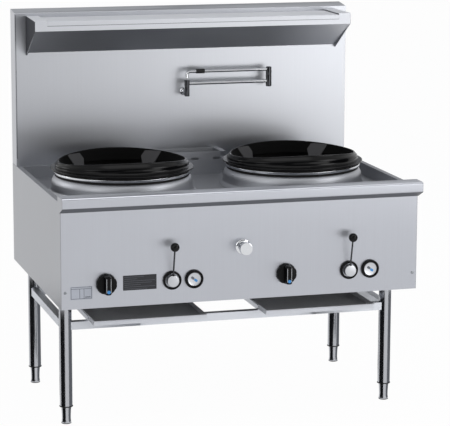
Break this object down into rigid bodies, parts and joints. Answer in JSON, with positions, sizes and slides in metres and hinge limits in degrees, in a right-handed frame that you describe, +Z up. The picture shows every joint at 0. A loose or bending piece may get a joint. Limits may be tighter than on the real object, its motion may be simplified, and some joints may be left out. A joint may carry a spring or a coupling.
{
  "type": "wok range",
  "caption": "Free-standing gas wok range on tube legs, with recessed deck, cast wok rings, splashback with shelf, folding tap, front controls and slide-out drip trays.",
  "frame": {"origin": "floor level, in the middle of the whole object's width and depth", "axes": "+X to the right seen from the front, +Y to the back, +Z up"},
  "size_m": [1.205, 0.8688, 1.303],
  "materials": {
    "brushed_stainless": "brushed",
    "deck_stainless": "satin",
    "polished_stainless": "polished",
    "chrome_plate": "mirror bright",
    "enamelled_iron": "gloss black enamel",
    "grey_iron": "as cast",
    "black_plastic": "moulded, semi gloss",
    "bezel_plastic": "moulded, semi gloss",
    "grip_rubber": "matt",
    "plate_black": "satin",
    "valve_brass": "machined",
    "gas_pipe": "drawn tube",
    "galvanised": "dull",
    "foot_steel": "satin",
    "rail_steel": "satin",
    "tray_steel": "satin",
    "collar_black": "moulded"
  },
  "bodies": {
    "root": {"front_panel": "brushed_stainless", "side_panel_left": "brushed_stainless", "side_panel_right": "brushed_stainless", "back_panel": "brushed_stainless", "front_rim": "brushed_stainless", "splash_front": "brushed_stainless", "splash_back": "brushed_stainless", "shelf_shell": "brushed_stainless", "shelf_ends": "brushed_stainless", "shelf_strip": "brushed_stainless", "trough": "brushed_stainless", "collar_left": "brushed_stainless", "collar_right": "brushed_stainless", "deck_side_ledges": "deck_stainless", "deck_cross_ledges": "deck_stainless", "deck_floor": "deck_stainless", "trim_rings": "polished_stainless", "leg_front_left": "polished_stainless", "leg_front_right": "polished_stainless", "leg_rear_left": "polished_stainless", "leg_rear_right": "polished_stainless", "tap_inlet": "chrome_plate", "water_valve": "chrome_plate", "burners": "grey_iron", "igniters": "black_plastic", "control_bezels": "bezel_plastic", "panel_plates": "plate_black", "gas_valves": "valve_brass", "gas_manifold": "gas_pipe", "feed_pipes": "gas_pipe", "water_pipes": "gas_pipe", "burner_well_left": "galvanised", "burner_well_right": "galvanised", "leg_brackets": "galvanised", "panel_screws": "galvanised", "leg_rails": "rail_steel", "tray_runners": "rail_steel", "leg_collars": "collar_black"},
    "spindle_left": {"knob_spindle_left": "valve_brass"},
    "knob_left": {"knob_left": "black_plastic"},
    "lever_left": {"lever_left": "polished_stainless", "lever_ball_left": "black_plastic"},
    "igniter_button_left": {"igniter_button_left": "polished_stainless"},
    "wok_ring_left": {"wok_ring_left": "enamelled_iron"},
    "drip_tray_left": {"drip_tray_left": "tray_steel"},
    "spindle_right": {"knob_spindle_right": "valve_brass"},
    "knob_right": {"knob_right": "black_plastic"},
    "lever_right": {"lever_right": "polished_stainless", "lever_ball_right": "black_plastic"},
    "igniter_button_right": {"igniter_button_right": "polished_stainless"},
    "wok_ring_right": {"wok_ring_right": "enamelled_iron"},
    "drip_tray_right": {"drip_tray_right": "tray_steel"},
    "water_knob": {"water_knob": "chrome_plate"},
    "tap_lower_arm": {"tap_lower_arm": "chrome_plate"},
    "tap_upper_arm": {"tap_upper_arm": "chrome_plate", "tap_grip": "grip_rubber"},
    "foot_front_left": {"foot_front_left": "foot_steel"},
    "foot_front_right": {"foot_front_right": "foot_steel"},
    "foot_rear_left": {"foot_rear_left": "foot_steel"},
    "foot_rear_right": {"foot_rear_right": "foot_steel"}
  },
  "joints": [
    {"name": "knob_turn_left", "type": "hinge", "parent": "root", "child": "spindle_left", "pos_m": [-0.453, -0.37962, 0.497], "axis": [0, -1, 0], "range_deg": [0, 180]},
    {"name": "knob_push_left", "type": "slide", "parent": "spindle_left", "child": "knob_left", "axis": [0, 1, 0], "range_m": [0, 0.004], "stiffness_N_per_m": 1500},
    {"name": "lever_turn_left", "type": "hinge", "parent": "root", "child": "lever_left", "pos_m": [-0.237, -0.37962, 0.497], "axis": [0, -1, 0], "range_deg": [0, 90]},
    {"name": "igniter_push_left", "type": "slide", "parent": "root", "child": "igniter_button_left", "axis": [0, 1, 0], "range_m": [0, 0.003], "stiffness_N_per_m": 1500},
    {"name": "ring_lift_left", "type": "slide", "parent": "root", "child": "wok_ring_left", "axis": [0, 0, 1], "range_m": [0, 0.12]},
    {"name": "tray_slide_left", "type": "slide", "parent": "root", "child": "drip_tray_left", "axis": [0, -1, 0], "range_m": [0, 0.45]},
    {"name": "knob_turn_right", "type": "hinge", "parent": "root", "child": "spindle_right", "pos_m": [0.147, -0.37962, 0.497], "axis": [0, -1, 0], "range_deg": [0, 180]},
    {"name": "knob_push_right", "type": "slide", "parent": "spindle_right", "child": "knob_right", "axis": [0, 1, 0], "range_m": [0, 0.004], "stiffness_N_per_m": 1500},
    {"name": "lever_turn_right", "type": "hinge", "parent": "root", "child": "lever_right", "pos_m": [0.363, -0.37962, 0.497], "axis": [0, -1, 0], "range_deg": [0, 90]},
    {"name": "igniter_push_right", "type": "slide", "parent": "root", "child": "igniter_button_right", "axis": [0, 1, 0], "range_m": [0, 0.003], "stiffness_N_per_m": 1500},
    {"name": "ring_lift_right", "type": "slide", "parent": "root", "child": "wok_ring_right", "axis": [0, 0, 1], "range_m": [0, 0.12]},
    {"name": "tray_slide_right", "type": "slide", "parent": "root", "child": "drip_tray_right", "axis": [0, -1, 0], "range_m": [0, 0.45]},
    {"name": "water_turn", "type": "hinge", "parent": "root", "child": "water_knob", "pos_m": [0, -0.37962, 0.594], "axis": [0, -1, 0], "range_deg": [0, 180]},
    {"name": "tap_lower_swing", "type": "hinge", "parent": "root", "child": "tap_lower_arm", "pos_m": [0, 0.31438, 1.03], "axis": [0, 0, 1], "range_deg": [-180, 0]},
    {"name": "tap_upper_swing", "type": "hinge", "parent": "tap_lower_arm", "child": "tap_upper_arm", "pos_m": [0.299, 0.31438, 1.06], "axis": [0, 0, 1], "range_deg": [0, 180]},
    {"name": "foot_screw_front_left", "type": "slide", "parent": "root", "child": "foot_front_left", "axis": [0, 0, -1], "range_m": [0, 0.03]},
    {"name": "foot_screw_front_right", "type": "slide", "parent": "root", "child": "foot_front_right", "axis": [0, 0, -1], "range_m": [0, 0.03]},
    {"name": "foot_screw_rear_left", "type": "slide", "parent": "root", "child": "foot_rear_left", "axis": [0, 0, -1], "range_m": [0, 0.03]},
    {"name": "foot_screw_rear_right", "type": "slide", "parent": "root", "child": "foot_rear_right", "axis": [0, 0, -1], "range_m": [0, 0.03]}
  ]
}
